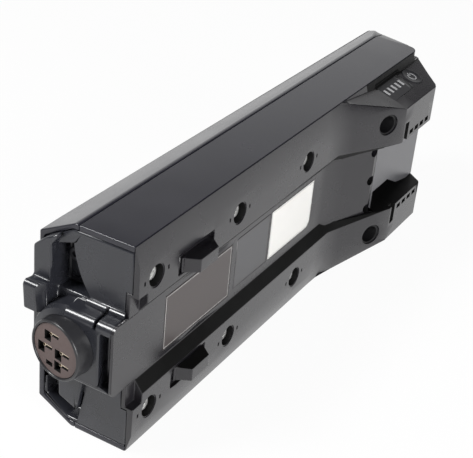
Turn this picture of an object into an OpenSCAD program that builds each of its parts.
// Battery pack for an electric bicycle frame, lying on its long side face.
// X runs from the connector end to the lock end, Z is up, and the mounting
// underside with its two rails, hooks and ears faces -Y.

/* [Body] */
// Room between the last cell and the far end of the flat side face
end_room = 33.36333; // [33:0.1:34]
// Room between the cells' ends and each side face
side_room = 13.5; // [13.4:0.1:13.8]
// Depth of the flat side face, from the joint plane to the shoulder
side_d = 26.2; // [26.2:0.2:27]
// Depth of the sloping shoulder beyond the side face
shoulder_d = 15.8; // [15.8:0.2:16.4]
// How far the shoulder draws in on each side
shoulder_drop = 8.3; // [7.6:0.1:8.3]
// Depth of the parting line on the side face
seam_d = 24.3; // [24:0.1:24.5]
// Thickness of the shell walls
wall = 2.5; // [2.3:0.1:2.6]
// How far the back of the slanted far end reaches beyond its front edge
end_reach = 20.5; // [20:0.1:20.8]
// First bend of the slanted far end, beyond its front edge
end_x1 = 1.3; // [1.2:0.1:1.5]
// Depth of the first bend
end_y1 = 6.5; // [6.3:0.1:6.7]
// Second bend of the slanted far end
end_x2 = 11.5; // [11.2:0.1:11.8]
// Depth of the second bend
end_y2 = 27; // [26.6:0.2:27.4]
// Third bend of the slanted far end
end_x3 = 19.5; // [19.2:0.1:19.8]
// Depth of the third bend
end_y3 = 36; // [35.6:0.2:36.4]
// Drop of the side face over the slanted far end
end_drop = 4; // [3.8:0.1:4.2]
// Start of the sloping bevel along the back edges
edge_x = 12; // [11:0.5:13]
// Length over which the back edges' bevel grows
edge_run = 250; // [248:1:252]
// Size of the back edges' bevel at the far end
edge_size = 2.03; // [1.9:0.05:2.1]
// Tilt of the back edges' bevel as a share of the shoulder's tilt
edge_share = 1.426; // [1.4:0.01:1.45]
// Rounding of the side faces' far front corner
corner_r = 6; // [5.8:0.1:6.2]

/* [Underside] */
// Height of the two rails above the joint plane
flange_h = 2.7; // [2.5:0.1:3]
// Height of the rail's outer bevel
bevel_h = 2.4; // [2:0.1:2.5]
// Width of the rail's outer bevel
bevel_w = 8.3; // [7:0.1:9]
// Depth of the trough floor behind the joint plane
valley_sink = 1; // [0.8:0.1:1.2]
// Half width of the trough floor
valley_half = 15.5; // [15:0.1:15.8]
// Half width of the trough at the rails
lip_half = 20.5; // [20:0.1:21]
// Half width of the hollow behind the trough floor
back_half = 16.1; // [16:0.1:16.3]
// Half width of the hollow at the joint plane
back_lip = 19.9; // [19.8:0.1:20]
// Thickness of the trough floor
floor_t = 1.8; // [1.6:0.1:1.8]
// Length of the wider trough at the connector end
near_l = 6; // [4:0.5:6]
// Half width of the wider trough at the connector end
near_half = 24.8; // [24:0.1:25]
// Wall thickness beside the wider trough
near_t = 1.2; // [1:0.1:1.2]

/* [Lock end] */
// Start of the trough's rise toward the lock plate, back from the far end
rise_x_back = 93; // [93:0.5:95]
// Start of the rails' ramp, back from the far end
ramp_x_back = 89.5; // [89:0.5:91]
// Start of the ears' flat faces, back from the far end
ear_x0_back = 52; // [52:0.5:53]
// End of the ears' flat faces, back from the far end
ear_x1_back = 16.5; // [16:0.5:17]
// Height of the ears above the joint plane
ear_h = 18.2; // [18.2:0.1:18.6]
// Position of the ear's rounded nose, back from the far end
nose_x_back = 14.6; // [14.4:0.1:15]
// Height of the ear's nose
nose_h = 17.2; // [16.8:0.1:17.2]
// Far end of the lock plate, back from the far end
tail_x_back = 9.3; // [9:0.1:10]
// Height of the lock plate above the joint plane
tail_h = 10.6; // [10.4:0.1:10.8]
// Start of the lock plate, back from the far end
plate_x_back = 64.5; // [64:0.1:65]
// Seam of the lock plate, back from the far end
plate_seam_x_back = 62; // [61.8:0.1:62.2]
// Thickness of the lock plate
plate_t = 1.2; // [1:0.1:1.2]
// Half width of the channel between the ears
chan_half = 17.8; // [17.6:0.1:18]
// Drop from the side face to the display face at its upper edge
edge_drop = 4.2; // [4:0.1:4.4]
// Drop from the side face to the ear face
face_drop = 10; // [9.8:0.1:10.2]
// Start of the sunk display field, back from the far end
field_x0_back = 53.5; // [53:0.5:54]
// End of the sunk display field, back from the far end
field_x1_back = 20.5; // [20:0.5:21]
// Thickness of the ear's front wall
ear_t = 3.2; // [3:0.1:3.4]
// Radius of the blind locating bores
bore_r = 4.3; // [4.2:0.05:4.4]
// Depth of the sleeve in each locating bore
bore_l = 9; // [8.5:0.1:9.2]
// Position of the locating bores, back from the far end
bore_x_back = 62.2; // [62:0.1:62.4]
// Depth of the mouth of the locating bores
bore_y = -11.4; // [-11.6:0.1:-11.2]
// Wall thickness of the sleeves in the locating bores
sleeve_t = 1; // [0.9:0.1:1.1]
// How far the sleeves lie below the ramp
sleeve_sink = 0.8; // [0.7:0.1:0.9]
// Width of the four small pockets in each ear
notch_w = 4.2; // [4:0.1:4.4]
// Height of the four small pockets in each ear
notch_h = 2.4; // [2.2:0.1:2.6]
// Spacing of the small pockets
notch_pitch = 6.25; // [6.1:0.05:6.3]
// First small pocket's centre, back from the far end
notch_x_back = 41.3; // [41:0.1:41.6]
// Distance of the small pockets from the mid plane
notch_off = 20.6; // [20.5:0.1:20.8]
// Depth of the small pockets
notch_d = 2.2; // [1.8:0.1:2.2]
// Start of the slit beside the pockets, back from the far end
slit_x_back = 50; // [49.8:0.1:50.2]
// Width of the slit
slit_w = 4; // [3.8:0.1:4.2]
// Length of the slit
slit_l = 9.6; // [9:0.1:10]
// Radius of the three round holes at the step
step_r = 2.4; // [2.2:0.1:2.4]
// Spacing of the three round holes
step_pitch = 15.2; // [15:0.1:15.3]
// Depth of the three round holes
step_d = 5; // [4.5:0.1:5]

/* [Latch pocket] */
// Start of the latch pocket, back from the far end
pocket_x0_back = 60; // [59.8:0.1:60.2]
// End of the pocket's full height, back from the far end
pocket_x1_back = 42.5; // [42:0.1:43]
// Middle of the pocket's tapered side, back from the far end
pocket_x2_back = 30; // [29.6:0.1:30.4]
// Far tip of the pocket, back from the far end
pocket_x3_back = 16; // [15.8:0.1:16.4]
// Height of the pocket at the wide end
pocket_h1 = 9.7; // [9.5:0.1:9.8]
// Height of the pocket halfway
pocket_h2 = 3.1; // [3:0.1:3.3]
// Depth of the pocket
pocket_d = 7.2; // [6.8:0.1:7.2]
// Wall thickness round the pocket
pocket_t = 1.6; // [1.5:0.1:1.7]

/* [Housing screws] */
// First screw well's centre from the connector end
well_x = 11.47; // [11.4:0.01:11.5]
// Spacing of the screw wells
well_pitch = 59.12; // [59.1:0.01:59.13]
// Distance of the screw rows from the mid plane
well_off = 29.82; // [29.8:0.01:29.84]
// Radius of the screw wells
well_r = 4.5; // [4.4:0.1:4.6]
// Radius of the rim round each well
well_rim_r = 5; // [4.9:0.1:5.1]
// Depth of the rim round each well
well_rim_d = 0.5; // [0.4:0.1:0.6]
// Radius of the cup that forms a well
cup_r = 6.2; // [6:0.1:6.2]
// Seat of the screw heads behind the joint plane
seat_y = 1.5; // [1.4:0.1:1.6]
// Back of the screw cups behind the joint plane
cup_y = 3; // [2.9:0.1:3]
// Radius of a housing screw's head
head_r = 3; // [2.8:0.1:3]
// Height of a housing screw's head
head_h = 1.9; // [1.8:0.1:2]
// Radius of a housing screw's shank
shank_r = 1.4; // [1.4:0.05:1.45]
// Depth of the screw bosses behind the joint plane
boss_y = 7; // [6.8:0.1:7]
// Radius of the screw bosses
boss_r = 3; // [2.9:0.1:3]
// Socket radius in the screw heads
socket_r = 1.25; // [1.2:0.05:1.3]

/* [Rail hooks] */
// Start of the hook's root along the length
hook_r0 = 28.8; // [28.6:0.1:29]
// Start of the hook's tip
hook_x0 = 33; // [32.8:0.1:33.2]
// End of the hook's tip
hook_x1 = 45.5; // [45.2:0.1:45.8]
// End of the hook's root
hook_x2 = 50.9; // [50.6:0.1:51.2]
// Height of the hooks above the joint plane
hook_h = 8.2; // [8:0.1:8.4]
// Inner side of the hook's tip from the mid plane
hook_in = 22.4; // [22.3:0.1:22.5]
// Outer side of the hooks from the mid plane
hook_out = 28.4; // [28.3:0.1:28.5]
// Inner side of the hook's root from the mid plane
hook_root = 22; // [21.9:0.1:22.1]
// Outer side of the sunk field round the hooks
hook_field = 31; // [30.8:0.1:31.2]
// Depth of the sunk field round the hooks
hook_sink = 1.9; // [1.8:0.1:2]

/* [Connector] */
// Position of the connector's face in front of the shells
conn_x = -15; // [-15.2:0.1:-14.8]
// Depth of the connector's face behind the joint plane
conn_y = 23.1; // [23:0.1:23.2]
// Turn of the connector's axis away from the length
conn_turn = 9; // [8.6:0.1:9.2]
// Outer radius of the connector collar
collar_r = 12.4; // [12.3:0.1:12.4]
// Inner radius of the connector collar
collar_in_r = 11.2; // [11.1:0.05:11.2]
// Radius of the collar's rear flange
collar_flange_r = 14; // [13.8:0.1:14]
// Depth of the collar's front socket
collar_socket_d = 12; // [11.5:0.1:12]
// Radius of the connector insert
insert_r = 11; // [10.9:0.05:11]
// Length of the connector insert
insert_l = 11; // [10.6:0.1:11]
// How far the insert's face lies behind the collar's rim
insert_sink = 0.6; // [0.5:0.1:0.8]
// Width of a contact window
slot_a = 3.4; // [3.3:0.1:3.5]
// Height of a contact window
slot_b = 4.2; // [4.1:0.1:4.3]
// Length of the slot beside a contact window
slot_c = 4; // [3.9:0.1:4.1]
// Height of the slot beside a contact window
slot_e = 1.5; // [1.4:0.1:1.5]
// Depth of the contact windows
slot_d = 4.4; // [4.3:0.1:4.4]
// Radius of a contact barrel
contact_r = 0.9; // [0.85:0.05:0.95]
// How far the contacts lie behind the insert's face
contact_sink = 1.6; // [1.5:0.1:1.8]

/* [Connector cap] */
// Thickness of the cap's end plate
cap_t = 2.8; // [2.7:0.1:2.8]
// How far the connector block stands out
block_x = -9.5; // [-9.6:0.1:-9.4]
// Half height of the connector block
block_half = 15.5; // [15.4:0.1:15.6]
// Rounding of the block's front edges
block_round = 3; // [2.8:0.1:3.2]
// Radius of the bead at the foot of the end wall
bead_r = 2; // [1.8:0.1:2]
// Depth of the vertical slot in the block
slot_deep = 6; // [5.5:0.1:6]
// Near side of the vertical slot
slot_y0 = 2.3; // [2.2:0.1:2.5]
// Far side of the vertical slot
slot_y1 = 7.2; // [7:0.1:7.3]
// Half height of the vertical slot
slot_half = 11; // [10.6:0.1:11]
// Near side of the narrow groove across the block
groove_y = 8.8; // [8.7:0.1:8.9]
// Width of the narrow groove
groove_w = 1.6; // [1.5:0.1:1.7]
// Radius of the end wall's curved edge
scoop_r = 40.2; // [40:0.1:40.4]
// Depth of the curved edge at the side face
scoop_y = 26.4; // [26.3:0.1:26.5]
// Distance of the curve's axis from the mid plane
scoop_z = 42; // [41.8:0.1:42.2]
// Far side of the recesses beside the connector
recess_y1 = 33.2; // [33:0.1:33.2]
// Depth of the recesses beside the connector
recess_x = 7; // [6.8:0.1:7]
// Wall thickness round the recesses
recess_t = 1.7; // [1.6:0.1:1.8]
// Height of the recess floor edge above the block
recess_z0 = 17; // [16.8:0.1:17.2]
// Outer edge of the recesses from the mid plane
recess_z1 = 38.4; // [38.2:0.1:38.4]
// Slope run of the recess beside the shoulder
recess_bev = 3.6; // [3.5:0.1:3.7]
// Front of the tall end lug
lug_x = -4.2; // [-4.3:0.1:-4.1]
// Front of the short end lug
stub_x = -10; // [-10.1:0.1:-9.9]
// Bottom of the tall end lug from the mid plane
lug_z0 = 6; // [5.8:0.1:6.2]
// Bottom of the short end lug from the mid plane
stub_z0 = 9; // [8.8:0.1:9.2]
// Top of the short end lug from the mid plane
stub_z1 = 21; // [20.8:0.1:21.2]
// Top of the tall lug's outer edge from the mid plane
lug_z1 = 33.6; // [33.4:0.1:33.8]
// Top of the tall lug's inner edge from the mid plane
lug_z2 = 38.6; // [38.4:0.1:38.8]
// Near side of the short end lug
stub_y0 = 33.2; // [33:0.1:33.4]
// Radius of the rounded top edge of the short lug
stub_round = 2.2; // [2.1:0.1:2.3]
// Bevel of the short lug's near front edge
stub_bev = 3; // [2.8:0.1:3.2]
// Front of the lower pad
guide_x = -2.2; // [-2.4:0.1:-2]
// Near side of the lower pad
guide_y0 = 19.5; // [19.3:0.1:19.7]
// Far side of the lower pad
guide_y1 = 31; // [30.8:0.1:31.2]
// Top of the lower pad below the mid plane
guide_z0 = 20; // [19.8:0.1:20.2]
// Bottom of the lower pad below the mid plane
guide_z1 = 35; // [34.8:0.1:35.2]
// Depth of the upper cap screw behind the joint plane
cap_screw_y = 29.5; // [29.4:0.1:29.6]
// Depth of the lower cap screw behind the joint plane
cap_screw_y_low = 34.6; // [34.5:0.1:34.7]
// Distance of the upper cap screw from the mid plane
cap_screw_off = 29.5; // [29.4:0.1:29.6]
// Distance of the lower cap screw from the mid plane
cap_screw_low = 27; // [26.8:0.1:27.2]
// Length of the cap screws
cap_screw_l = 9; // [8.6:0.1:9]
// End of the cap screw bosses
cap_boss_x = 19; // [18.6:0.1:19]

/* [Display] */
// Centre of the first charge light, back from the far end
bar_x_back = 49.7; // [49.6:0.1:49.8]
// Spacing of the charge lights
bar_pitch = 4.1; // [4:0.05:4.15]
// Width of a charge light
bar_w = 1.7; // [1.6:0.1:1.8]
// Length of a charge light
bar_l = 3.8; // [3.6:0.1:3.9]
// Upper end of the charge lights below the field's upper edge
bar_y = 4.3; // [4.2:0.1:4.5]
// Start of the display window, back from the far end
window_x0_back = 52.4; // [52.2:0.1:52.6]
// End of the display window, back from the far end
window_x1_back = 29; // [28.8:0.1:29.2]
// Upper edge of the display window below the field's upper edge
window_y0 = 1.4; // [1.3:0.1:1.5]
// Lower edge of the display window below the field's upper edge
window_y1 = 12.2; // [12:0.1:12.4]
// Thickness of the display window
window_t = 1.2; // [1.1:0.1:1.2]
// Corner radius of the display window
window_r = 1.4; // [1.3:0.1:1.5]
// Centre of the power button, back from the far end
button_x_back = 21.8; // [21.7:0.1:21.9]
// Centre of the power button below the field's upper edge
button_y = 7; // [6.9:0.1:7.1]
// Radius of the power button
button_r = 5.6; // [5.5:0.1:5.6]
// How far the button stands out
button_out = 0.3; // [0.2:0.1:0.3]
// Radius of the button's retaining flange
button_flange_r = 6.6; // [6.5:0.1:6.6]
// Thickness of the button's retaining flange
button_flange_t = 0.8; // [0.7:0.1:0.9]
// Radius of the button's stem
stem_r = 1.8; // [1.7:0.1:1.8]
// Travel of the button
travel = 0.8; // [0.7:0.1:0.8]
// Length of the button's stem below its flange
stem_l = 0.9; // [0.8:0.1:0.9]
// Radius of the rubber seal's mouth
seal_in_r = 3; // [2.9:0.1:3.1]
// Thickness of the rubber seal
seal_t = 0.6; // [0.5:0.1:0.6]
// Side of the push switch
switch_w = 6; // [5.8:0.1:6]
// Height of the push switch
switch_h = 2.6; // [2.5:0.1:2.7]
// Radius of the push switch's plunger
plunger_r = 1.6; // [1.5:0.1:1.7]
// Height of the push switch's plunger
plunger_h = 0.5; // [0.4:0.1:0.5]
// Width of the ribbon's plugs
plug_w = 4; // [3.8:0.1:4]
// Thickness of the circuit boards
board_t = 1.6; // [1.5:0.1:1.6]
// Start of the display board, back from the far end
dboard_x0_back = 51.2; // [51:0.1:51.3]
// End of the display board, back from the far end
dboard_x1_back = 17; // [17:0.1:17.2]
// Lower edge of the display board below the field's upper edge
dboard_y1 = 13; // [12.8:0.1:13]
// Upper edge of the display board below the field's upper edge
dboard_y0 = 2.4; // [2.3:0.1:2.5]
// Height of a light on the display board
lamp_h = 0.8; // [0.7:0.1:0.9]

/* [Cells] */
// Radius of a cell
cell_r = 9.1; // [9.05:0.05:9.1]
// Length of a cell
cell_l = 65; // [64.6:0.1:65]
// Cells in each row
cell_n = 10; // [8:1:10]
// Depth of the first row's axes
row_a_y = 13.5; // [13.4:0.1:13.6]
// Depth of the second row's axes
row_b_y = 29.7; // [29.6:0.1:29.8]
// Height of each cell holder
holder_h = 8.5; // [8:0.1:8.5]
// Near side of the cell holders
holder_y0 = 4.6; // [4.5:0.1:4.7]
// Far side of the cell holders
holder_y1 = 39.2; // [39:0.1:39.2]
// Near end of the cell holders
holder_x0 = 11.2; // [11.1:0.1:11.4]
// Thickness of the nickel strips
nickel_t = 0.3; // [0.2:0.1:0.3]
// Width of the nickel strips
nickel_w = 8; // [7.5:0.1:8]
// Thickness of the insulating sheets
sheet_t = 0.4; // [0.3:0.1:0.4]
// Near side of the insulating sheets
sheet_y0 = 8; // [7.9:0.1:8.2]
// Far side of the insulating sheets
sheet_y1 = 37.2; // [37:0.1:37.4]
// Inner radius of an insulating ring on a cell's end
ring_in_r = 4.2; // [4:0.1:4.3]

/* [Electronics] */
// Start of the main board
board_x0 = 40; // [39.5:0.5:40]
// End of the main board, back from the far end
board_x1_back = 61; // [61:0.5:61.5]
// Near side of the main board
board_y0 = 8; // [7.9:0.1:8.1]
// Far side of the main board
board_y1 = 26.4; // [26.2:0.1:26.4]
// Height of the main board's standoffs
standoff_h = 3.3; // [3.2:0.1:3.3]
// Radius of the main board's standoffs
standoff_r = 2; // [1.9:0.1:2]
// Side of a power transistor
fet_w = 6; // [5.8:0.1:6]
// Height of a power transistor
fet_h = 1.6; // [1.5:0.1:1.7]
// Number of power transistors
fet_n = 6; // [4:1:6]
// Spacing of the power transistors
fet_pitch = 8.5; // [8.3:0.1:8.5]
// First power transistor's centre
fet_x = 52; // [51.8:0.1:52.2]
// Thickness of the heat spreader
spread_t = 1.5; // [1.4:0.1:1.5]
// Width of the heat spreader
spread_w = 10; // [9.8:0.1:10]
// Side of the controller chip
chip_w = 9; // [8.8:0.1:9]
// Height of the controller chips
chip_h = 1.4; // [1.3:0.1:1.5]
// First controller chip's centre
chip_x = 112; // [111.8:0.1:112.2]
// Spacing of the controller chips
chip_pitch = 22; // [21.8:0.1:22]
// Radius of the capacitors
cap_r = 1.9; // [1.8:0.1:1.9]
// Length of the capacitors
cap_l = 7; // [6.8:0.1:7]
// First capacitor's centre
cap_x = 160; // [159.8:0.1:160.2]
// Spacing of the capacitors
cap_pitch = 9; // [8.8:0.1:9]
// Length of the current shunt
shunt_l = 8; // [7.8:0.1:8]
// Width of the current shunt
shunt_w = 3; // [2.9:0.1:3.1]
// Centre of the current shunt
shunt_x = 104; // [103.9:0.1:104]
// Length of the fuse body
fuse_l = 16; // [15.8:0.1:16]
// Radius of the fuse body
fuse_r = 4; // [3.9:0.1:4]
// Near end of the fuse, back from the far end
fuse_x_back = 25; // [24.8:0.1:25.1]
// Radius of the fuse caps
fuse_cap_r = 4.4; // [4.3:0.1:4.5]
// Length of the fuse caps
fuse_cap_l = 3; // [2.9:0.1:3.1]
// Thickness of the fuse holder's base
fuse_t = 1.6; // [1.5:0.1:1.6]
// Radius of the power leads
lead_r = 1.4; // [1.3:0.1:1.4]
// Distance of the power leads from the cap's plate
lead_x = 8.6; // [8.5:0.1:8.7]
// Depth of the first power lead
lead_y0 = 9.4; // [9.4:0.1:9.5]
// Spacing of the power leads
lead_pitch = 3; // [2.9:0.1:3]
// Near side of the sense ribbon
ribbon_y0 = 29; // [28.9:0.1:29.1]
// Far side of the sense ribbon
ribbon_y1 = 34; // [33.8:0.1:34]
// Thickness of the sense ribbon
ribbon_t = 0.6; // [0.5:0.1:0.6]
// Radius of a temperature probe
probe_r = 0.9; // [0.8:0.1:0.9]
// Length of a temperature probe
probe_l = 8; // [7.8:0.1:8.2]
// Width of the foam blocks
foam_w = 12; // [11.5:0.1:12]

/* [Labels] */
// Thickness of the labels
label_t = 0.3; // [0.2:0.1:0.3]
// Start of the dark label
label_a_x0 = 24.4; // [24.3:0.1:24.6]
// End of the dark label
label_a_x1 = 73.6; // [73.4:0.1:73.8]
// Start of the grey label
label_b_x0 = 77.6; // [77.4:0.1:77.8]
// End of the grey label
label_b_x1 = 105.4; // [105.2:0.1:105.6]
// Start of the white label
label_c_x0 = 107; // [106.9:0.1:107.2]
// End of the white label
label_c_x1 = 146.2; // [146:0.1:146.4]
// Lower edge of the dark label below the mid plane
label_a_z0 = 12.7; // [12.6:0.1:12.8]
// Upper edge of the dark label above the mid plane
label_a_z1 = 12.3; // [12.2:0.1:12.4]
// Lower edge of the grey and white labels below the mid plane
label_b_z0 = 11; // [10.8:0.1:11.2]
// Upper edge of the grey and white labels above the mid plane
label_b_z1 = 12.8; // [12.6:0.1:13]
// Cut corner of the white label
label_cut = 2.4; // [2.2:0.1:2.6]

/* [Seals] */
// Width of the joint seals
gasket_w = 1; // [0.9:0.1:1]
// Depth of the joint seals
gasket_d = 0.8; // [0.7:0.1:0.8]
// Radius of the cross section of the connector's seal ring
oring_r = 0.8; // [0.7:0.05:0.8]
// Radius of the vent disc
vent_r = 4; // [3.9:0.1:4.1]
// Thickness of the vent disc
vent_t = 0.6; // [0.5:0.1:0.6]
// Radius of the vent hole
vent_hole_r = 2; // [1.9:0.1:2.1]
// Depth of the vent behind the joint plane
vent_y = 12; // [11.8:0.1:12.2]

/* [Hidden] */
// Clearance between fitted pieces
gap = 0.1;
// Overrun of a cutting shape
ovr = 0.5;
$fn = 48;
lip_foot = lip_half - (lip_half - valley_half) * flange_h / (flange_h + valley_sink);
cell_pitch = well_pitch / 3;
row_a_x = well_x + cell_pitch / 2;
row_b_x = well_x + cell_pitch;
body_w = cell_l + 2 * side_room;
body_l = row_b_x + (cell_n - 1) * cell_pitch + cell_r + end_room;
mid = body_w / 2;
rise_x = body_l - rise_x_back;
ramp_x = body_l - ramp_x_back;
ear_x0 = body_l - ear_x0_back;
ear_x1 = body_l - ear_x1_back;
nose_x = body_l - nose_x_back;
tail_x = body_l - tail_x_back;
plate_x = body_l - plate_x_back;
plate_seam_x = body_l - plate_seam_x_back;
field_x0 = body_l - field_x0_back;
field_x1 = body_l - field_x1_back;
bore_x = body_l - bore_x_back;
notch_x = body_l - notch_x_back;
slit_x = body_l - slit_x_back;
pocket_x0 = body_l - pocket_x0_back;
pocket_x1 = body_l - pocket_x1_back;
pocket_x2 = body_l - pocket_x2_back;
pocket_x3 = body_l - pocket_x3_back;
bar_x = body_l - bar_x_back;
window_x0 = body_l - window_x0_back;
window_x1 = body_l - window_x1_back;
button_x = body_l - button_x_back;
dboard_x0 = body_l - dboard_x0_back;
dboard_x1 = body_l - dboard_x1_back;
fuse_x = body_l - fuse_x_back;
board_x1 = body_l - board_x1_back;
collar_l = (cap_t - conn_x + collar_flange_r * sin(conn_turn) + gap) / cos(conn_turn);
body_d = side_d + shoulder_d;
a_led = atan2(face_drop - edge_drop, ear_h);
floor_y = valley_sink + floor_t;
near_back = near_half + near_t;
probe_y = row_a_y - sqrt(pow(cell_r + probe_r + gap, 2) - pow(cell_pitch / 2, 2));
holder_x1 = row_b_x + (cell_n - 1) * cell_pitch + cell_r + gap * 4;
cell_z0 = mid - cell_l / 2;
cell_z1 = mid + cell_l / 2;
x_min = conn_x - (collar_r - gap * 5) * sin(conn_turn);
far_x = body_l + end_reach;
cx = (x_min + far_x) / 2;
seam_end = body_l + end_x1 + (seam_d - end_y1) / (end_y2 - end_y1) * (end_x2 - end_x1);
edge_a = atan2(shoulder_drop, shoulder_d) * edge_share;
edge_b = atan2(edge_size, edge_run);
cy = (body_d - ear_h) / 2;
board_z = cell_l / 2 + nickel_t + gap + sheet_t + standoff_h;
fuse_z = wall + gap + fuse_t + fuse_cap_r;
// middle of the two cap screws, depth then height
cap_screw_at = [[cap_screw_y, mid + cap_screw_off], [cap_screw_y_low, mid - cap_screw_low]];
wells = [for (i = [0:2]) well_x + i * well_pitch];
// contact centres as shares of the insert's radius, depth then height
contact_shares = [[0.36, 0.43], [0.67, -0.15], [-0.14, -0.12], [-0.12, -0.6], [0.28, -0.66]];

module along_x(x0, x1) {
  translate([x0, 0, 0]) rotate([90, 0, 90]) linear_extrude(x1 - x0) children();
}
module along_z(z0, z1) {
  translate([0, 0, z0]) linear_extrude(z1 - z0) children();
}
module rod_y(x, z, y0, y1, r) {
  translate([x, y0, z]) rotate([-90, 0, 0]) cylinder(h = y1 - y0, r = r);
}
module rod_x(y, z, x0, x1, r) {
  translate([x0, y, z]) rotate([0, 90, 0]) cylinder(h = x1 - x0, r = r);
}
module box(a, b) {
  translate(a) cube(b - a);
}
// a shape and its mirror image about the mid plane
module both() {
  children();
  translate([0, 0, body_w]) mirror([0, 0, 1]) children();
}
// moves the origin under the middle of the standing part
module place() {
  translate([-cx, -cy, 0]) children();
}
// frame of the sloping display face: X along the length, Y toward the body, Z outward
module led_frame() {
  translate([0, 0, body_w - edge_drop]) rotate([a_led, 0, 0]) children();
}
// frame of the connector: Z outward along its axis
module conn_frame() {
  translate([conn_x, conn_y, mid]) rotate([0, 0, -conn_turn]) rotate([0, -90, 0]) children();
}

// shells

module plan_outline() {
  polygon([
    [0, floor_y + ovr], [0, -ear_h - ovr], [ear_x0, -ear_h - ovr], [ear_x0, -ear_h],
    [ear_x1, -ear_h], [nose_x, -nose_h], [tail_x, -tail_h], [body_l, 0],
    [body_l, floor_y + ovr]
  ]);
}
module rail_profile() {
  polygon([
    [0, 0], [-bevel_h, bevel_w], [-flange_h, mid - lip_half], [valley_sink, mid - valley_half],
    [valley_sink, mid + valley_half], [-flange_h, mid + lip_half],
    [-bevel_h, body_w - bevel_w], [0, body_w], [0, mid + back_lip],
    [floor_y, mid + back_half], [floor_y, mid - back_half], [0, mid - back_lip]
  ]);
}
module ear_profile() {
  polygon([
    [0, edge_drop], [-ear_h, face_drop], [-ear_h, mid - chan_half], [0, mid - chan_half]
  ]);
}
// soft rise from a rail to its ear
module ramp() {
  hull() {
    along_x(ramp_x - gap, ramp_x) polygon([
      [0, 0], [-bevel_h, bevel_w], [-flange_h, mid - lip_half], [0, mid - lip_foot]
    ]);
    along_x(ear_x0 - gap, ear_x0) polygon([
      [0, edge_drop], [-ear_h, face_drop], [-ear_h, mid - chan_half], [0, mid - chan_half]
    ]);
  }
}
module channel_floor() {
  polygon([
    [rise_x, valley_sink], [plate_x, -tail_h], [body_l, -tail_h], [body_l, floor_y],
    [rise_x, floor_y]
  ]);
}
module cover_outer() {
  intersection() {
    along_z(0, body_w) plan_outline();
    union() {
      along_x(0, body_l) rail_profile();
      both() along_x(ear_x0 - gap, body_l) ear_profile();
      both() ramp();
      along_z(mid - chan_half, mid + chan_half) channel_floor();
    }
  }
}
module ear_cavity() {
  intersection() {
    along_z(0, body_w) polygon([
      [ramp_x + wall * 3, floor_y + ovr], [ramp_x + wall * 3, -flange_h + wall],
      [ear_x0 + ovr, -ear_h + ear_t], [ear_x1 - ovr, -ear_h + ear_t],
      [tail_x - wall, -tail_h], [body_l - wall * 2, 0], [body_l - wall * 2, floor_y + ovr]
    ]);
    along_x(ramp_x, body_l) polygon([
      [floor_y + ovr, edge_drop + wall], [0, edge_drop + wall],
      [-ear_h, face_drop + wall], [-ear_h, mid - chan_half - wall],
      [floor_y + ovr, mid - chan_half - wall]
    ]);
  }
}
module channel_cavity() {
  along_z(mid - chan_half - wall - gap, mid + chan_half + wall + gap) polygon([
    [rise_x + wall * 2, floor_y + ovr], [rise_x + wall * 2, floor_y - gap],
    [plate_x + wall, -tail_h + ear_t], [tail_x - wall, -tail_h + ear_t],
    [body_l - wall * 2, 0], [body_l - wall * 2, floor_y + ovr]
  ]);
}
module pocket_shape() {
  polygon([
    [pocket_x0, mid - chan_half], [pocket_x0, mid - chan_half + pocket_h1],
    [pocket_x1, mid - chan_half + pocket_h1], [pocket_x2, mid - chan_half + pocket_h2],
    [pocket_x3, mid - chan_half]
  ]);
}
module pocket_shell() {
  polygon([
    [pocket_x0 - pocket_t, mid - chan_half - pocket_t],
    [pocket_x0 - pocket_t, mid - chan_half + pocket_h1 + pocket_t],
    [pocket_x1 + pocket_t / 2, mid - chan_half + pocket_h1 + pocket_t],
    [pocket_x2 + pocket_t, mid - chan_half + pocket_h2 + pocket_t],
    [pocket_x3 + pocket_t, mid - chan_half + pocket_t / 2],
    [pocket_x3 + pocket_t, mid - chan_half - pocket_t]
  ]);
}
// a plan in X and Z run along Y
module along_y(y0, y1) {
  translate([0, y1, 0]) rotate([90, 0, 0]) linear_extrude(y1 - y0) children();
}
module hook() {
  intersection() {
    along_z(0, body_w) polygon([
      [hook_r0, -flange_h + hook_sink + gap], [hook_x0, -hook_h], [hook_x1, -hook_h],
      [hook_x2, -flange_h + hook_sink + gap]
    ]);
    along_x(hook_r0, hook_x2) polygon([
      [0, mid - hook_root], [0, mid - hook_out], [-hook_h, mid - hook_out],
      [-hook_h, mid - hook_in]
    ]);
  }
}
module button_hole(r, z0, z1) {
  led_frame() translate([button_x, -button_y, z0]) cylinder(h = z1 - z0, r = r);
}
module window_plate(d, z0, z1) {
  led_frame() translate([0, 0, z0]) linear_extrude(z1 - z0) union() {
    translate([window_x0 - d, -window_y1 - d + window_r])
      square([window_x1 - window_x0 + 2 * d, window_y1 - window_y0 + 2 * d - 2 * window_r]);
    translate([window_x0 - d + window_r, -window_y1 - d])
      square([window_x1 - window_x0 + 2 * d - 2 * window_r, window_y1 - window_y0 + 2 * d]);
    for (x = [window_x0 - d + window_r, window_x1 + d - window_r])
      for (y = [-window_y1 - d + window_r, -window_y0 + d - window_r])
        translate([x, y]) circle(r = window_r);
  }
}
module bar_cells(d, z0, z1) {
  led_frame() for (i = [0:4])
    translate([bar_x + i * bar_pitch - bar_w / 2 - d, -bar_y - bar_l - d, z0])
      cube([bar_w + 2 * d, bar_l + 2 * d, z1 - z0]);
}
module valley_air() {
  polygon([
    [-flange_h, mid - lip_half], [valley_sink, mid - valley_half],
    [valley_sink, mid + valley_half], [-flange_h, mid + lip_half]
  ]);
}
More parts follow.
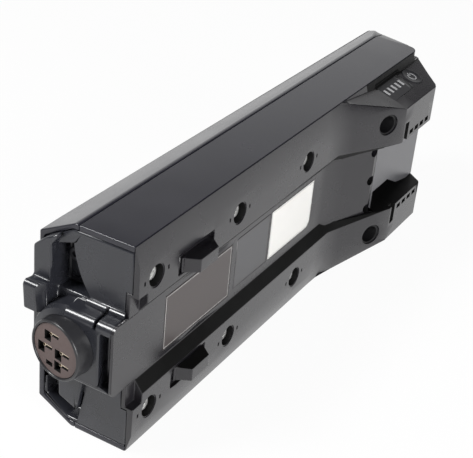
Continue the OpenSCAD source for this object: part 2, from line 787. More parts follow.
// front plan of the connector block with two rounded corners
module tongue_plan() {
  translate([block_x + block_round, mid - block_half])
    square([floor_t - block_x - block_round, block_half * 2]);
  translate([block_x, mid - block_half + block_round])
    square([block_round + gap, (block_half - block_round) * 2]);
  for (s = [-1, 1]) translate([block_x + block_round, mid + s * (block_half - block_round)])
    circle(r = block_round);
}
module underside_cover() {
  color([0.33, 0.33, 0.34]) place() difference() {
    union() {
      difference() {
        cover_outer();
        both() ear_cavity();
        channel_cavity();
      }
      intersection() {
        cover_outer();
        union() {
          both() rod_y(bore_x, mid - well_off, -ear_h, bore_y + bore_l + wall, bore_r + wall);
          for (k = [-1:1])
            rod_y(plate_x, mid + k * step_pitch, -ear_h, -tail_h + step_d + wall, step_r + wall);
          along_y(-tail_h, -tail_h + pocket_d + pocket_t) pocket_shell();
          led_frame() translate([button_x, -button_y, -board_depth()])
            cylinder(h = board_depth() - button_out, r = button_flange_r + wall);
        }
      }
      both() for (x = wells) rod_y(x, mid - well_off, -flange_h + gap * 3, cup_y, cup_r);
      both() hook();
      difference() {
        box([0, -gap, mid - near_back], [near_l + floor_t, floor_y, mid + near_back]);
        along_x(-ovr, near_l + floor_t + ovr) valley_air();
      }
      // tongue in front of the connector block
      along_y(valley_sink, slot_y0 - gap) tongue_plan();
      // post and ring that carry the display board
      led_frame() translate([dboard_x0 + wall, -dboard_y1 + wall, -board_depth()])
        cylinder(h = board_depth() - wall / 2, r = standoff_r);
    }
    // stays clear of the far wall behind the joint plane
    box([body_l - wall - gap, 0, -ovr], [body_l + ovr, floor_y + ovr * 2, body_w + ovr]);
    // wider trough at the connector end
    box([-ovr, -flange_h - ovr, mid - near_half], [near_l, valley_sink, mid + near_half]);
    both() box([body_l + gap - corner_r, -flange_h - ovr, body_w - edge_drop], [far_x, ovr, body_w + ovr]);
    // screw wells with their rims, key marks and through holes
    both() for (x = wells) {
      rod_y(x, mid - well_off, -flange_h - ovr, seat_y, well_r);
      rod_y(x, mid - well_off, -flange_h - ovr, -flange_h + well_rim_d, well_rim_r);
      rod_y(x, mid - well_off, 0, cup_y + ovr, shank_r + gap * 2);
      for (s = [-1, 1])
        box([x + s * well_r * 1.7 - gap * 5, -flange_h - ovr, mid - well_off - gap * 9],
            [x + s * well_r * 1.7 + gap * 5, -flange_h + gap * 8, mid - well_off + gap * 9]);
    }
    // sunk field round each hook
    both() difference() {
      box([hook_r0 - wall, -flange_h - ovr, mid - hook_field],
          [hook_x2 + gap, -flange_h + hook_sink, mid - hook_root]);
      translate([0, -gap * 10, 0]) hook();
      hook();
    }
    // blind locating bores
    both() rod_y(bore_x, mid - well_off, -ear_h - ovr, bore_y + bore_l, bore_r + sleeve_t);
    // round holes at the step
    for (k = [-1:1]) rod_y(plate_x, mid + k * step_pitch, -ear_h, -tail_h + step_d, step_r);
    // seat of the lock plate and its latch pocket
    box([plate_seam_x, -ear_h, mid - chan_half], [body_l, -tail_h + plate_t, mid + chan_half]);
    along_y(-ear_h, -tail_h + pocket_d) pocket_shape();
    // small pockets and slit in the ear faces
    both() {
      for (i = [0:3])
        box([notch_x + i * notch_pitch - notch_w / 2, -ear_h - ovr, mid - notch_off - notch_h / 2],
            [notch_x + i * notch_pitch + notch_w / 2, -ear_h + notch_d, mid - notch_off + notch_h / 2]);
      box([slit_x, -ear_h - ovr, mid - chan_half - slit_l],
          [slit_x + slit_w, -ear_h + notch_d, mid - chan_half + ovr]);
    }
    // sunk display field beside the side face
    led_frame() translate([0, 0, -gap / 2]) linear_extrude(edge_drop * 2) polygon([
      [field_x0, -bar_y / 2], [field_x1 - edge_drop / 2, -bar_y / 2],
      [field_x1 - edge_drop * 1.5, -gap], [field_x0, -gap]
    ]);
    // display window, charge lights and power button
    window_plate(0, -window_t, ovr);
    bar_cells(gap / 2, -wall - ovr, ovr);
    button_hole(button_r + gap, -wall * 2, ovr);
    button_hole(button_flange_r + gap, -board_depth() - ovr, -wall);
    // label seats
    label_plate(label_a_x0, label_a_x1, label_a_z0, label_a_z1, 0, valley_sink - ovr);
    label_plate(label_b_x0, label_b_x1, label_b_z0, label_b_z1, 0, valley_sink - ovr);
    label_plate(label_c_x0, label_c_x1, label_b_z0, label_b_z1, label_cut, valley_sink - ovr);
  }
}
module label_plate(x0, x1, z0, z1, cut, y0) {
  along_y(y0, valley_sink + label_t) polygon([
    [x0, mid - z0], [x1 - cut, mid - z0], [x1, mid - z0 + cut], [x1, mid + z1], [x0, mid + z1]
  ]);
}
// plan of the shells' space with its slanted far end, drawn in by t
module far_plan(t) {
  polygon([
    [-wall, -ovr], [body_l - t, -ovr], [body_l + end_x1 - t * 1.08, end_y1],
    [body_l + end_x2 - t * 1.2, end_y2], [body_l + end_x3 - t * 1.2, end_y3],
    [far_x - t, body_d], [far_x - t, body_d + wall], [-wall, body_d + wall]
  ]);
}
// side faces in X and Z, sloping over the slanted far end, drawn in by t
module far_side(t) {
  polygon([
    [-wall, t], [body_l + ovr, t], [far_x + wall, end_drop + t],
    [far_x + wall, body_w - end_drop - t], [body_l + ovr, body_w - t], [-wall, body_w - t]
  ]);
}
module far_space(t) {
  intersection() {
    along_z(-ovr, body_w + ovr) far_plan(t);
    along_y(-ovr, body_d + wall) far_side(t);
  }
}
// everything beyond the bevels of the two back edges, moved inward by d
module edge_cut(d) {
  both() translate([edge_x, body_d, body_w - shoulder_drop]) rotate([edge_a, 0, 0])
    rotate([0, 0, -edge_b]) translate([-wall * 4, -d, -shoulder_d])
      cube([edge_run * 1.2, shoulder_d, shoulder_d * 2]);
}
// rounding of the side faces' far front corners
module corner_cut() {
  both() difference() {
    box([body_l + gap - corner_r, -flange_h - ovr, body_w - edge_drop],
        [far_x, corner_r, body_w + ovr]);
    translate([body_l + gap - corner_r, corner_r, 0]) cylinder(h = body_w * 1.1, r = corner_r + gap);
  }
}
module main_housing() {
  color([0.3, 0.3, 0.32]) place() difference() {
    union() {
      difference() {
        intersection() {
          box([0, gap, 0], [far_x, seam_d - gap, body_w]);
          far_space(0);
        }
        far_space(wall);
      }
      // solid corners behind the rounding, and the boss of the vent
      intersection() {
        union() {
          both() box([body_l - corner_r - wall, gap, body_w - edge_drop - wall],
                     [body_l, corner_r + gap * 12, body_w]);
          rod_x(vent_y, mid, body_l - wall, far_x, vent_r + wall / 2);
        }
        far_space(0);
      }
      both() for (x = wells) {
        rod_y(x, mid - well_off, cup_y + gap, boss_y, boss_r);
        box([x - wall / 2, cup_y + gap, wall - gap], [x + wall / 2, boss_y, mid - well_off]);
      }
    }
    both() for (x = wells) rod_y(x, mid - well_off, 0, boss_y + ovr, shank_r + gap / 2);
    seal_path(-ovr, gap + gasket_d, body_l + gap);
    seal_path(seam_d - gap - gasket_d, seam_d + ovr, seam_end);
    rod_x(vent_y, mid, body_l - wall - ovr, far_x, vent_hole_r);
    corner_cut();
  }
}
// path along the rim of the walls, whose outer face ends at xe
module seal_path(y0, y1, xe) {
  along_y(y0, y1) difference() {
    seal_field(xe, (wall - gasket_w) / 2, wall);
    seal_field(xe, (wall + gasket_w) / 2, 0);
  }
}
module seal_field(xe, d, x0) {
  polygon([
    [x0, d], [xe - cup_r - wall, d], [xe - d, cup_r + wall],
    [xe - d, body_w - cup_r - wall], [xe - cup_r - wall, body_w - d], [x0, body_w - d]
  ]);
}
module shoulder_profile(t) {
  polygon([
    [seam_d - (t > 0 ? ovr : 0), t], [side_d + t * 0.28, t], [body_d - t, shoulder_drop + t * 0.62],
    [body_d - t, body_w - shoulder_drop - t * 0.62], [side_d + t * 0.28, body_w - t],
    [seam_d - (t > 0 ? ovr : 0), body_w - t]
  ]);
}
// ribs that tie the two cap screw bosses to the side walls, grown by d
module cap_screw_ribs(d) {
  box([recess_x + recess_t + gap - d, cap_screw_y_low - wall / 2 - d, 0],
      [cap_boss_x + d, cap_screw_y_low + wall / 2 + d, mid - cap_screw_low]);
  box([recess_x + recess_t + gap - d, cap_screw_y - wall / 2 - d, mid + cap_screw_off],
      [cap_boss_x + d, cap_screw_y + wall / 2 + d, body_w]);
}
module top_cover() {
  color([0.3, 0.3, 0.31]) place() difference() {
    union() {
      difference() {
        intersection() {
          along_x(0, far_x) shoulder_profile(0);
          far_space(0);
        }
        difference() {
          intersection() {
            along_x(-ovr, far_x) shoulder_profile(wall);
            far_space(wall);
          }
          edge_cut(wall);
        }
      }
      intersection() {
        union() {
          for (p = cap_screw_at) rod_x(p[0], p[1], recess_x + recess_t + gap, cap_boss_x, boss_r);
          cap_screw_ribs(0);
        }
        along_x(0, body_l) shoulder_profile(0);
      }
    }
    for (p = cap_screw_at) rod_x(p[0], p[1], recess_x, cap_boss_x + ovr, shank_r + gap / 2);
    edge_cut(0);
  }
}

// connector end

module cap_plug() {
  polygon([
    [gap, wall + gap], [gap, mid - near_back - gap * 3], [floor_y + gap, mid - near_back - gap * 3],
    [floor_y + gap, mid + near_back + gap * 3], [gap, mid + near_back + gap * 3],
    [gap, body_w - wall - gap], [side_d + wall * 0.28 - gap, body_w - wall - gap],
    [body_d - wall - gap, body_w - shoulder_drop - wall * 0.62 - gap],
    [body_d - wall - gap, shoulder_drop + wall * 0.62 + gap],
    [side_d + wall * 0.28 - gap, wall + gap]
  ]);
}
// recess beside the connector, grown by d
module recess_shape(d) {
  difference() {
    polygon([
      [side_d / 2, mid + recess_z0 - d], [recess_y1 + d, mid + recess_z0 - d],
      [recess_y1 + d, mid + recess_z1 - recess_bev + d * 0.6],
      [scoop_y, mid + recess_z1 + d], [side_d / 2, mid + recess_z1 + d]
    ]);
    translate([scoop_y - scoop_r, mid + scoop_z]) circle(r = scoop_r - d, $fn = 96);
  }
}
// pad in front of the lower recess
module guide_plan() {
  polygon([
    [guide_y1, mid - guide_z0], [guide_y1 - gap * 2, mid - guide_z1 + bevel_w * 0.45],
    [guide_y0 + bevel_h, mid - guide_z1], [guide_y0 + bevel_h * 0.7, mid - guide_z1 + bevel_w * 0.6],
    [guide_y0, mid - guide_z0]
  ]);
}
module lower_recess(d) {
  difference() {
    polygon([
      [guide_y0, mid - recess_z0 + d], [body_d - wall * 1.6 + d * 0.4, mid - recess_z0 + d],
      [body_d - wall * 1.6 + d * 0.4, shoulder_drop + wall - d * 0.3],
      [scoop_y + recess_t, wall * 1.7 - d * 0.3], [guide_y0 + bevel_h, wall * 1.7 - d * 0.3]
    ]);
    if (d == 0) guide_plan();
  }
}
module cap_block() {
  difference() {
    union() {
      // block beside the connector with its rounded front edges
      along_y(slot_y0, conn_y) tongue_plan();
      // round housing behind the collar
      translate([0, conn_y, mid]) rotate([0, -90, 0]) rotate_extrude($fn = 96)
        polygon([
          [0, 0], [block_half, 0], [block_half, -block_x - block_round],
          [block_half - block_round * 0.3, -block_x - block_round * 0.3],
          [block_half - block_round, -block_x], [0, -block_x]
        ]);
      // bead at the foot of the end wall
      rod_y(0, mid + block_half, slot_y0, conn_y - bead_r * 2, bead_r);
    }
    // stays in front of the shells except inside the plug
    box([0, -flange_h, 0], [body_l, floor_y + gap, body_w]);
    // vertical slot and the narrow groove across the block
    box([block_x - ovr, slot_y0 - ovr, mid - slot_half - wall * 0.8],
        [block_x + slot_deep, slot_y1, mid + slot_half]);
    box([block_x - ovr, groove_y, mid + block_half - block_round * 1.2],
        [-ovr, groove_y + groove_w, mid + block_half + bead_r + ovr]);
  }
}
module end_lugs() {
  // tall lug in front of the shoulder
  along_x(lug_x, -gap) polygon([
    [recess_y1, mid - lug_z0], [body_d - gap * 4, mid - lug_z0], [body_d - gap * 4, mid + lug_z1],
    [side_d + shoulder_d * 0.62, mid + lug_z2],
    [side_d + shoulder_d * 0.3, mid + lug_z2 + recess_bev * 0.8],
    [side_d + shoulder_d * 0.3, mid + lug_z2 + recess_bev * 0.1],
    [recess_y1, mid + lug_z2 - recess_bev * 0.6]
  ]);
  // short lug with a rounded top edge and one bevelled edge
  intersection() {
    along_z(mid + stub_z0, mid + stub_z1) polygon([
      [lug_x + gap, stub_y0], [stub_x + stub_bev, stub_y0], [stub_x, stub_y0 + stub_bev],
      [stub_x, body_d - gap * 4], [lug_x + gap, body_d - gap * 4]
    ]);
    along_y(stub_y0, body_d) union() {
      translate([stub_x, mid + stub_z0]) square([-stub_x, stub_z1 - stub_z0 - stub_round]);
      translate([stub_x + stub_round, mid + stub_z0]) square([-stub_x, stub_z1 - stub_z0]);
      translate([stub_x + stub_round, mid + stub_z1 - stub_round]) circle(r = stub_round);
    }
  }
  // lower pad
  along_x(guide_x, 0) guide_plan();
}
module connector_cap() {
  color([0.28, 0.28, 0.29]) place() difference() {
    union() {
      along_x(0, cap_t) cap_plug();
      // root of the lugs inside the shoulder
      intersection() {
        along_x(lug_x, cap_t) polygon([
          [recess_y1, mid - lug_z0], [body_d - wall - gap, mid - lug_z0],
          [body_d - wall - gap, mid + lug_z1 - gap * 9], [recess_y1, mid + lug_z1]
        ]);
        along_x(lug_x, cap_t) cap_plug();
      }
      cap_block();
      end_lugs();
      along_x(0, recess_x + recess_t) intersection() {
        cap_plug();
        union() {
          recess_shape(recess_t);
          lower_recess(recess_t);
        }
      }
    }
    along_x(-ovr, recess_x) recess_shape(0);
    along_x(-ovr, recess_x) lower_recess(0);
    // bore of the collar and clearance for its flange
    conn_frame() translate([0, 0, -collar_l * 2])
      cylinder(h = collar_l * 3, r = collar_r + gap, $fn = 96);
    for (p = cap_screw_at) rod_x(p[0], p[1], 0, recess_x + recess_t + ovr, shank_r + gap * 2);
  }
}
module connector_collar() {
  color([0.16, 0.16, 0.17]) place() conn_frame() difference() {
    union() {
      translate([0, 0, -collar_l]) cylinder(h = collar_l - gap * 6, r = collar_r, $fn = 96);
      translate([0, 0, -gap * 6])
        cylinder(h = gap * 6, r1 = collar_r, r2 = collar_r - gap * 5, $fn = 96);
      translate([0, 0, -collar_l - wall * 0.8]) cylinder(h = wall * 0.8, r = collar_flange_r, $fn = 96);
    }
    translate([0, 0, -collar_socket_d]) cylinder(h = collar_socket_d + ovr, r = collar_in_r, $fn = 96);
    translate([0, 0, -collar_l * 2]) cylinder(h = collar_l * 2, r = insert_r - wall / 2, $fn = 96);
    translate([0, 0, -collar_socket_d - oring_r * 2]) rotate_extrude($fn = 96)
      translate([collar_r, 0]) circle(r = oring_r);
  }
}
module collar_seal() {
  color([0.08, 0.08, 0.08]) place() conn_frame() intersection() {
    translate([0, 0, -collar_socket_d - oring_r * 2]) rotate_extrude($fn = 96)
      translate([collar_r, 0]) circle(r = oring_r);
    translate([0, 0, -collar_l]) cylinder(h = collar_l, r = collar_r + gap / 2, $fn = 96);
  }
}
function contact_at(s) = [s[1] * insert_r, s[0] * insert_r, 0];
// window and side slot of contact i, drawn in by d
module contact_window(i, d) {
  h = i < 4 ? slot_b : slot_e * 1.3;
  translate([-h / 2 + d, -slot_a / 2 + d]) square([h - 2 * d, slot_a - 2 * d]);
  if (i < 4) translate([slot_e / 2 + d, -slot_a / 2 - slot_c + d])
    square([slot_e - 2 * d, slot_c + (d > 0 ? 0 : ovr)]);
}
module connector_insert() {
  color([0.36, 0.29, 0.28]) place() conn_frame() difference() {
    translate([0, 0, -insert_sink - insert_l]) cylinder(h = insert_l, r = insert_r, $fn = 96);
    for (i = [0:4]) translate(contact_at(contact_shares[i])) {
      translate([0, 0, -insert_sink - slot_d]) linear_extrude(slot_d + ovr) contact_window(i, 0);
      translate([0, 0, -insert_l * 2]) cylinder(h = insert_l * 2, r = contact_r + gap / 2);
    }
  }
}
module contacts() {
  color([0.82, 0.66, 0.35]) place() conn_frame()
    for (i = [0:4]) translate(contact_at(contact_shares[i])) {
      difference() {
        translate([0, 0, -insert_sink - insert_l]) cylinder(h = insert_l - contact_sink, r = contact_r);
        translate([0, 0, -insert_sink - contact_sink * 2])
          cylinder(h = contact_sink * 2, r = contact_r * 0.55);
      }
      // blade in the side slot
      if (i < 4) translate([slot_e * 0.85, -slot_a / 2 - slot_c * 0.9, -insert_sink - slot_d])
        cube([slot_e * 0.4, slot_c * 0.8, slot_d - gap * 6]);
    }
}
module contact_tails() {
  color([0.75, 0.72, 0.62]) place() conn_frame()
    for (s = contact_shares) translate(contact_at(s))
      translate([0, 0, -insert_sink - insert_l - collar_l * 0.4])
        cylinder(h = collar_l * 0.4, r = contact_r);
}

// lock end

module lock_plate() {
  color([0.42, 0.42, 0.43]) place() difference() {
    intersection() {
      along_y(-tail_h, -tail_h + plate_t) polygon([
        [plate_seam_x + gap, mid - chan_half + gap], [body_l, mid - chan_half + gap],
        [body_l, mid + chan_half - gap], [plate_seam_x + gap, mid + chan_half - gap]
      ]);
      along_z(0, body_w) plan_outline();
    }
    along_y(-ear_h, 0) pocket_shape();
    for (k = [-1:1]) rod_y(plate_x, mid + k * step_pitch, -ear_h, 0, step_r + gap);
  }
}
module bore_sleeves() {
  color([0.14, 0.14, 0.15]) place() both() difference() {
    intersection() {
      rod_y(bore_x, mid - well_off, -ear_h, bore_y + bore_l - gap, bore_r + sleeve_t - gap / 2);
      along_z(0, body_w) polygon([
        [ramp_x, -flange_h + sleeve_sink], [ear_x0, -ear_h + sleeve_sink], [ear_x0, floor_y],
        [ramp_x, floor_y]
      ]);
    }
    rod_y(bore_x, mid - well_off, -ear_h, bore_y + bore_l - wall / 2, bore_r);
  }
}
module display_window() {
  color([0.13, 0.13, 0.14]) place() difference() {
    window_plate(-gap / 2, -window_t, 0);
    bar_cells(gap / 2, -wall * 2, ovr);
  }
}
module charge_lights() {
  color([0.75, 0.76, 0.78]) place() bar_cells(0, -lamp_top() + gap, gap / 2);
}
function lamp_top() = board_depth() - lamp_h;
function board_depth() = wall + button_flange_t + stem_l + travel + gap * 2 + plunger_h + switch_h;
module power_button() {
  color([0.2, 0.2, 0.21]) place() led_frame() translate([button_x, -button_y, 0]) {
    translate([0, 0, -wall - gap]) cylinder(h = wall + gap + button_out, r = button_r);
    translate([0, 0, -wall - gap - button_flange_t]) cylinder(h = button_flange_t, r = button_flange_r);
    translate([0, 0, -wall - gap - button_flange_t - stem_l]) cylinder(h = stem_l, r = stem_r);
  }
}
module button_seal() {
  color([0.1, 0.1, 0.1]) place() led_frame()
    translate([button_x, -button_y, -wall - button_flange_t - travel - gap * 2 - seal_t]) difference() {
      cylinder(h = seal_t, r = button_flange_r + gap);
      translate([0, 0, -ovr]) cylinder(h = seal_t + ovr * 2, r = seal_in_r);
    }
}
module push_switch() {
  color([0.25, 0.25, 0.26]) place() led_frame() translate([button_x, -button_y, -board_depth()]) {
    translate([-switch_w / 2, -switch_w / 2, 0]) cube([switch_w, switch_w, switch_h]);
    translate([0, 0, switch_h]) cylinder(h = plunger_h, r = plunger_r);
  }
}
module display_board() {
  color([0.1, 0.3, 0.16]) place() led_frame()
    translate([dboard_x0, -dboard_y1, -board_depth() - board_t])
      cube([dboard_x1 - dboard_x0, dboard_y1 - dboard_y0, board_t]);
}
module display_lamps() {
  color([0.9, 0.9, 0.8]) place() bar_cells(0, -board_depth(), -board_depth() + lamp_h);
}
module display_ribbon() {
  z0 = cell_z1 + nickel_t + sheet_t + gap * 2;
  color([0.75, 0.72, 0.6]) place() {
    along_z(z0, z0 + ribbon_t) polygon([
      [board_x1 - plug_w, row_a_y + plug_w / 2], [board_x1 - plug_w, row_a_y],
      [dboard_x0, -valley_sink * 1.6], [dboard_x0 + plug_w, -valley_sink * 1.6],
      [dboard_x0 + plug_w, valley_sink], [board_x1 + plug_w / 2, row_a_y + plug_w / 2]
    ]);
    box([board_x1 - plug_w, row_a_y, z0],
        [board_x1 - plug_w / 2, row_a_y + plug_w / 2, mid + board_z - gap]);
    led_frame() translate([dboard_x0 + gap, -bar_y + gap, -board_depth()])
      cube([plug_w, bar_y - dboard_y0 - gap * 3, lamp_h * 2]);
  }
}

// fasteners and seals

module housing_screws() {
  color([0.78, 0.78, 0.76]) place() both() for (x = wells) difference() {
    union() {
      rod_y(x, mid - well_off, seat_y - head_h, seat_y, head_r);
      rod_y(x, mid - well_off, seat_y - gap, boss_y - gap, shank_r);
    }
    rod_y(x, mid - well_off, seat_y - head_h - ovr, seat_y - head_h * 0.4, socket_r);
  }
}
module cap_screws() {
  color([0.2, 0.2, 0.2]) place() for (p = cap_screw_at) difference() {
    union() {
      rod_x(p[0], p[1], recess_x - head_h, recess_x, head_r);
      rod_x(p[0], p[1], recess_x - gap, recess_x + cap_screw_l, shank_r);
    }
    rod_x(p[0], p[1], recess_x - head_h - ovr, recess_x - head_h * 0.4, socket_r);
  }
}
module seal_ring(y0, y1, xe) {
  intersection() {
    seal_path(y0, y1, xe);
    box([wall + gap, y0, 0], [far_x, y1, body_w]);
  }
}
module housing_gasket() {
  color([0.1, 0.1, 0.1]) place() seal_ring(0, gap + gasket_d, body_l + gap);
}
module cover_gasket() {
  color([0.1, 0.1, 0.1]) place() seal_ring(seam_d - gap - gasket_d, seam_d, seam_end);
}
module vent_disc() {
  color([0.85, 0.85, 0.84]) place() rod_x(vent_y, mid, body_l - wall - vent_t, body_l - wall, vent_r);
}

// cells

module cell_row(n, x, y) {
  for (i = [0:n - 1]) translate([x + i * cell_pitch, y, cell_z0]) children();
}
module cell_can() {
  rim = cell_r * 0.1;
  difference() {
    rotate_extrude($fn = 48) polygon([
      [0, 0], [cell_r - rim, 0], [cell_r, rim], [cell_r, cell_l - rim * 4],
      [cell_r - rim * 0.5, cell_l - rim * 3.5], [cell_r, cell_l - rim * 3], [cell_r, cell_l - rim],
      [cell_r - rim, cell_l - rim * 0.3], [cell_r * 0.45, cell_l - rim * 0.3],
      [cell_r * 0.45, cell_l], [0, cell_l]
    ]);
  }
}
module cells_a() {
  color([0.2, 0.45, 0.3]) place() cell_row(cell_n, row_a_x, row_a_y) cell_can();
}
module cells_b() {
  color([0.2, 0.45, 0.3]) place() cell_row(cell_n, row_b_x, row_b_y) cell_can();
}
module cell_rings() {
  color([0.9, 0.9, 0.88]) place() {
    cell_row(cell_n, row_a_x, row_a_y) ring_disc();
    cell_row(cell_n, row_b_x, row_b_y) ring_disc();
  }
}
module ring_disc() {
  translate([0, 0, cell_l - cell_r * 0.03]) difference() {
    cylinder(h = cell_r * 0.03, r = cell_r * 0.85);
    translate([0, 0, -ovr]) cylinder(h = cell_r, r = cell_r * 0.47);
  }
}
module holder(z0) {
  difference() {
    box([holder_x0, holder_y0, z0], [holder_x1, holder_y1, z0 + holder_h]);
    for (i = [0:cell_n - 1]) {
      translate([row_a_x + i * cell_pitch, row_a_y, z0 - ovr])
        cylinder(h = holder_h + 2 * ovr, r = cell_r + gap / 2);
      translate([row_b_x + i * cell_pitch, row_b_y, z0 - ovr])
        cylinder(h = holder_h + 2 * ovr, r = cell_r + gap / 2);
    }
    both() for (x = wells) {
      rod_y(x, mid - well_off, 0, boss_y + gap * 3, boss_r + gap * 3);
      box([x - wall / 2 - gap * 2, 0, 0], [x + wall / 2 + gap * 2, boss_y + gap * 3, mid - well_off]);
    }
    for (p = cap_screw_at) rod_x(p[0], p[1], 0, cap_boss_x + gap * 3, boss_r + gap * 3);
    cap_screw_ribs(gap * 3);
  }
}
// legs between a holder and the side wall, standing between the screw bosses
module holder_legs(z0, z1) {
  for (i = [0:3]) translate([row_b_x + i * cell_pitch * 3, 0, 0])
    box([-boss_r, holder_y0, z0], [boss_r, sheet_y0 - gap, z1]);
}
module holder_low() {
  color([0.15, 0.15, 0.17]) place() {
    holder(cell_z0);
    holder_legs(wall + gap, cell_z0 + gap);
  }
}
module holder_high() {
  color([0.15, 0.15, 0.17]) place() {
    holder(cell_z1 - holder_h);
    holder_legs(cell_z1 - gap, body_w - wall - gap);
  }
}
// strips that join neighbouring cell groups
module strips(z0, first) {
  for (i = [first:2:cell_n - 1]) {
    n = i + 1 < cell_n ? 1 : 0;
    box([row_a_x + i * cell_pitch - nickel_w / 2, row_a_y - nickel_w / 2, z0],
        [row_a_x + (i + n) * cell_pitch + nickel_w / 2, row_a_y + nickel_w / 2, z0 + nickel_t]);
    box([row_b_x + i * cell_pitch - nickel_w / 2, row_b_y - nickel_w / 2, z0],
        [row_b_x + (i + n) * cell_pitch + nickel_w / 2, row_b_y + nickel_w / 2, z0 + nickel_t]);
    box([row_b_x + i * cell_pitch - nickel_w / 2, row_a_y, z0],
        [row_b_x + i * cell_pitch + nickel_w / 2 - cell_r / 2, row_b_y, z0 + nickel_t]);
  }
}
module nickel_low() {
  color([0.8, 0.8, 0.78]) place() strips(cell_z0 - nickel_t, 0);
}
module nickel_high() {
  color([0.8, 0.8, 0.78]) place() strips(cell_z1, 1);
}
module sheet(z0) {
  box([cap_boss_x + gap * 3, sheet_y0, z0], [holder_x1, sheet_y1, z0 + sheet_t]);
}
module sheet_low() {
  color([0.85, 0.82, 0.7]) place() sheet(cell_z0 - nickel_t - gap - sheet_t);
}
module sheet_high() {
  color([0.85, 0.82, 0.7]) place() sheet(cell_z1 + nickel_t + gap);
}
module foam_blocks() {
  color([0.2, 0.2, 0.2]) place() for (x = [board_x0, board_x0 * 0.65 + board_x1 * 0.35, board_x1])
    box([x - foam_w / 2, row_a_y, wall + gap],
        [x + foam_w / 2, side_d - wall, cell_z0 - nickel_t - gap * 2 - sheet_t]);
}

// electronics

module main_board() {
  color([0.08, 0.3, 0.16]) place()
    box([board_x0, board_y0, mid + board_z], [board_x1, board_y1, mid + board_z + board_t]);
}
module board_standoffs() {
  color([0.8, 0.8, 0.75]) place()
    for (x = [board_x0 + wall * 2, (board_x0 + board_x1) / 2, board_x1 - wall * 2])
    for (y = [board_y0 + wall, board_y1 - wall])
      translate([x, y, cell_z1 + nickel_t + gap + sheet_t])
        cylinder(h = standoff_h, r = standoff_r);
}
module power_transistors() {
  color([0.12, 0.12, 0.13]) place() for (i = [0:fet_n - 1])
    translate([fet_x + i * fet_pitch - fet_w / 2, board_y0 + wall, mid + board_z + board_t])
      cube([fet_w, fet_w, fet_h]);
}
module heat_spreader() {
  color([0.75, 0.76, 0.78]) place()
    translate([fet_x - fet_w, board_y0 + wall / 2, mid + board_z + board_t + fet_h])
      cube([(fet_n - 1) * fet_pitch + fet_w * 2, spread_w, spread_t]);
}
module controller_chips() {
  color([0.1, 0.1, 0.11]) place() for (i = [0:1])
    translate([chip_x + wall * 2 + i * chip_pitch, board_y0 + wall * 2, mid + board_z + board_t])
      cube([chip_w, chip_w, chip_h]);
}
module capacitors() {
  color([0.15, 0.18, 0.3]) place() for (i = [0:2])
    translate([cap_x + i * cap_pitch, board_y0 + wall * 2, mid + board_z + board_t + cap_r])
      rotate([-90, 0, 0]) cylinder(h = cap_l, r = cap_r);
}
module current_shunt() {
  color([0.7, 0.5, 0.35]) place()
    translate([shunt_x, board_y0 + wall * 2, mid + board_z + board_t])
      cube([shunt_l, shunt_w, chip_h]);
}
module fuse_body() {
  color([0.85, 0.85, 0.82]) place()
    rod_x(row_a_y, fuse_z, fuse_x + fuse_cap_l, fuse_x + fuse_l - fuse_cap_l, fuse_r);
}
module fuse_caps() {
  color([0.8, 0.8, 0.76]) place() {
    rod_x(row_a_y, fuse_z, fuse_x, fuse_x + fuse_cap_l, fuse_cap_r);
    rod_x(row_a_y, fuse_z, fuse_x + fuse_l - fuse_cap_l, fuse_x + fuse_l, fuse_cap_r);
  }
}
module fuse_holder() {
  color([0.12, 0.12, 0.13]) place() difference() {
    union() {
      box([fuse_x - fuse_t, row_a_y - fuse_cap_r - fuse_t, wall + gap],
          [fuse_x + fuse_l + fuse_t, row_a_y + fuse_cap_r + fuse_t, wall + gap + fuse_t]);
      for (x = [fuse_x, fuse_x + fuse_l - fuse_cap_l])
        box([x, row_a_y - fuse_cap_r - fuse_t, wall + gap],
            [x + fuse_cap_l, row_a_y + fuse_cap_r + fuse_t, fuse_z + fuse_cap_r / 2]);
    }
    rod_x(row_a_y, fuse_z, fuse_x - ovr, fuse_x + fuse_l + ovr, fuse_cap_r + gap / 2);
  }
}
module fuse_lead() {
  x0 = holder_x1 + lead_r * 2;
  z1 = cell_z1 + nickel_t + sheet_t + gap * 2 + lead_r;
  color([0.6, 0.12, 0.1]) place() {
    rod_x(row_a_y, fuse_z, x0, fuse_x - gap, lead_r);
    translate([x0, row_a_y, fuse_z]) sphere(r = lead_r);
    translate([x0, row_a_y, fuse_z]) cylinder(h = z1 - fuse_z, r = lead_r);
    translate([x0, row_a_y, z1]) sphere(r = lead_r);
    rod_x(row_a_y, z1, x0 - lead_r * 6, x0, lead_r);
  }
}
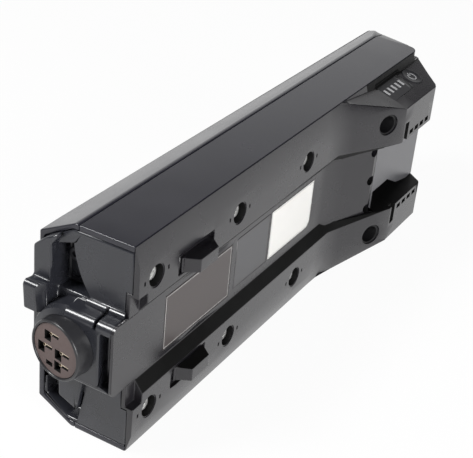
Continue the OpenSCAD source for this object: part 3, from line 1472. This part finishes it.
module power_leads() {
  z0 = mid + board_half();
  z1 = mid + board_z + board_t + lead_r;
  color([0.6, 0.12, 0.1]) place() for (i = [0:1]) translate([0, lead_y0 + i * lead_pitch, 0]) {
    translate([lead_x, 0, z0]) cylinder(h = z1 - z0, r = lead_r);
    translate([lead_x, 0, z1]) sphere(r = lead_r);
    translate([lead_x, 0, z1]) rotate([0, 90, 0]) cylinder(h = board_x0 + wall * 2 - lead_x, r = lead_r);
  }
}
function board_half() = collar_flange_r * 0.5;
module sense_ribbon() {
  color([0.7, 0.68, 0.55]) place()
    box([board_x0, ribbon_y0, cell_z1 + nickel_t + gap + sheet_t],
        [holder_x1, ribbon_y1, cell_z1 + nickel_t + gap + sheet_t + ribbon_t]);
}
module temperature_probes() {
  color([0.1, 0.1, 0.1]) place() for (i = [2, 5, 8])
    translate([well_x + i * cell_pitch, probe_y, mid - probe_l / 2])
      cylinder(h = probe_l, r = probe_r);
}

// labels

module dark_label() {
  color([0.33, 0.28, 0.27]) place()
    label_plate(label_a_x0 + gap, label_a_x1 - gap, label_a_z0 - gap, label_a_z1 - gap, 0, valley_sink);
}
module grey_label() {
  color([0.38, 0.38, 0.38]) place()
    label_plate(label_b_x0 + gap, label_b_x1 - gap, label_b_z0 - gap, label_b_z1 - gap, 0, valley_sink);
}
module white_label() {
  color([0.93, 0.93, 0.91]) place()
    label_plate(label_c_x0 + gap, label_c_x1 - gap, label_b_z0 - gap, label_b_z1 - gap, label_cut,
                valley_sink);
}

main_housing();
top_cover();
underside_cover();
connector_cap();
connector_collar();
collar_seal();
connector_insert();
contacts();
contact_tails();
lock_plate();
bore_sleeves();
display_window();
charge_lights();
power_button();
button_seal();
push_switch();
display_board();
display_lamps();
display_ribbon();
housing_screws();
cap_screws();
housing_gasket();
cover_gasket();
vent_disc();
cells_a();
cells_b();
cell_rings();
holder_low();
holder_high();
nickel_low();
nickel_high();
sheet_low();
sheet_high();
main_board();
board_standoffs();
power_transistors();
heat_spreader();
controller_chips();
capacitors();
current_shunt();
fuse_body();
fuse_caps();
power_leads();
sense_ribbon();
temperature_probes();
foam_blocks();
fuse_holder();
fuse_lead();
dark_label();
grey_label();
white_label();
